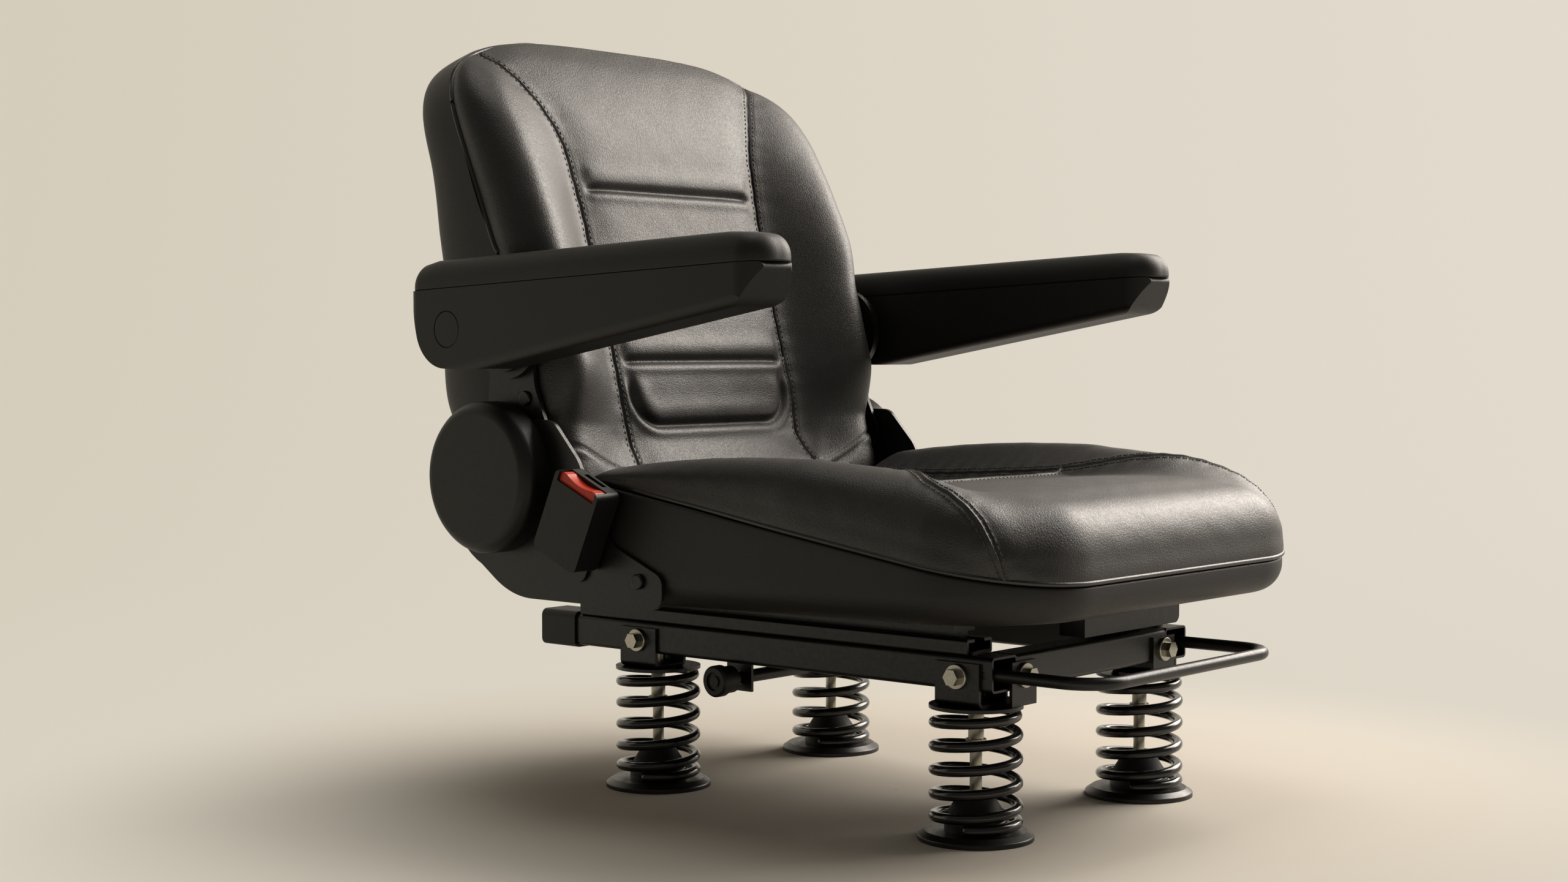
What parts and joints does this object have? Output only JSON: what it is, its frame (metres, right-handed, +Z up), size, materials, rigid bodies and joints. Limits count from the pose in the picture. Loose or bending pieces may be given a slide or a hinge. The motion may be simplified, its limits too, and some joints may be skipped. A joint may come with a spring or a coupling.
{
  "type": "ride on mower seat",
  "caption": "Padded mower seat on coil springs, with a reclining back, hinged armrests, belt buckles, a sliding base and a release bar.",
  "frame": {"origin": "midway between the four feet, on the deck that they stand on", "axes": "+Z up, -Y the way the sitter faces, +X to the sitter's left"},
  "size_m": [0.65, 0.7507, 0.7259],
  "materials": {
    "vinyl": "grained black vinyl",
    "shell_plastic": "fine textured moulding",
    "frame_steel": "black powder coat",
    "spring_steel": "gloss black",
    "zinc_steel": "zinc plated",
    "stop_rubber": "moulded",
    "button_plastic": "moulded"
  },
  "bodies": {
    "deck_feet": {"foot_front_right": "frame_steel", "foot_front_left": "frame_steel", "foot_rear_right": "frame_steel", "foot_rear_left": "frame_steel", "guide_rods": "zinc_steel", "bump_stops": "stop_rubber", "spring_front_right": "spring_steel", "spring_front_left": "spring_steel", "spring_rear_right": "spring_steel", "spring_rear_left": "spring_steel"},
    "suspension_frame": {"side_rail_right": "frame_steel", "side_rail_left": "frame_steel", "front_beam": "frame_steel", "rear_beam": "frame_steel", "rail_end_caps": "shell_plastic", "spring_bracket_front_right": "frame_steel", "spring_bracket_front_left": "frame_steel", "spring_bracket_rear_right": "frame_steel", "spring_bracket_rear_left": "frame_steel", "guide_sleeves": "zinc_steel", "bracket_bolts": "zinc_steel", "lower_track_right": "frame_steel", "lower_track_left": "frame_steel", "shaft_hangers": "frame_steel"},
    "release_bar": {"release_bar": "frame_steel"},
    "adjuster": {"adjuster_shaft": "frame_steel", "adjuster_knob": "shell_plastic"},
    "seat_base": {"upper_track_right": "frame_steel", "upper_track_left": "frame_steel", "track_spacers": "frame_steel", "seat_pan": "shell_plastic", "front_stop": "shell_plastic", "seat_cushion": "vinyl", "hinge_plate_right": "frame_steel", "hinge_plate_left": "frame_steel", "hinge_pin_right": "zinc_steel", "hinge_pin_left": "zinc_steel", "hinge_cover_right": "shell_plastic", "hinge_cover_left": "shell_plastic", "hinge_plate_screws": "zinc_steel", "buckle_rivets": "zinc_steel"},
    "backrest": {"back_shell": "shell_plastic", "back_cushion": "vinyl", "arm_bracket_right": "frame_steel", "arm_bracket_left": "frame_steel", "arm_hub_right": "shell_plastic", "arm_hub_left": "shell_plastic", "arm_bracket_screws": "zinc_steel"},
    "armrest_right": {"arm_body_right": "shell_plastic", "arm_pad_right": "vinyl", "arm_cap_right": "shell_plastic"},
    "armrest_left": {"arm_body_left": "shell_plastic", "arm_pad_left": "vinyl", "arm_cap_left": "shell_plastic"},
    "buckle_right": {"buckle_body_right": "shell_plastic", "buckle_strap_right": "zinc_steel"},
    "buckle_left": {"buckle_body_left": "shell_plastic", "buckle_strap_left": "zinc_steel"},
    "button_right": {"buckle_button_right": "button_plastic"},
    "button_left": {"buckle_button_left": "button_plastic"}
  },
  "joints": [
    {"name": "suspension_travel", "type": "slide", "parent": "deck_feet", "child": "suspension_frame", "axis": [0, 0, 1], "range_m": [-0.035, 0], "stiffness_N_per_m": 22000, "springref_m": 0.016, "deforming": ["spring_front_right", "spring_front_left", "spring_rear_right", "spring_rear_left"]},
    {"name": "fore_aft_slide", "type": "slide", "parent": "suspension_frame", "child": "seat_base", "axis": [0, -1, 0], "range_m": [-0.06, 0.06]},
    {"name": "release_bar_lift", "type": "hinge", "parent": "suspension_frame", "child": "release_bar", "pos_m": [0, -0.214, 0.145], "axis": [-1, 0, 0], "range_deg": [0, 12], "stiffness_Nm_per_rad": 2, "springref_deg": -17.19},
    {"name": "adjuster_turn", "type": "hinge", "parent": "suspension_frame", "child": "adjuster", "pos_m": [-0.15, 0.076, 0.1145], "axis": [1, 0, 0], "continuous": true},
    {"name": "backrest_recline", "type": "hinge", "parent": "seat_base", "child": "backrest", "pos_m": [0, 0.278, 0.298], "axis": [-1, 0, 0], "range_deg": [-8, 15]},
    {"name": "armrest_right_lift", "type": "hinge", "parent": "backrest", "child": "armrest_right", "pos_m": [-0.295, 0.267, 0.436], "axis": [-1, 0, 0], "range_deg": [0, 85]},
    {"name": "armrest_left_lift", "type": "hinge", "parent": "backrest", "child": "armrest_left", "pos_m": [0.295, 0.267, 0.436], "axis": [-1, 0, 0], "range_deg": [0, 85]},
    {"name": "buckle_right_swing", "type": "hinge", "parent": "seat_base", "child": "buckle_right", "pos_m": [-0.254, 0.164, 0.244], "axis": [-1, 0, 0], "range_deg": [-12, 20]},
    {"name": "buckle_left_swing", "type": "hinge", "parent": "seat_base", "child": "buckle_left", "pos_m": [0.254, 0.164, 0.244], "axis": [-1, 0, 0], "range_deg": [-12, 20]},
    {"name": "button_right_press", "type": "slide", "parent": "buckle_right", "child": "button_right", "axis": [0, 0.4067, -0.9135], "range_m": [0, 0.005], "stiffness_N_per_m": 900, "springref_m": -0.002},
    {"name": "button_left_press", "type": "slide", "parent": "buckle_left", "child": "button_left", "axis": [0, 0.4067, -0.9135], "range_m": [0, 0.005], "stiffness_N_per_m": 900, "springref_m": -0.002}
  ]
}
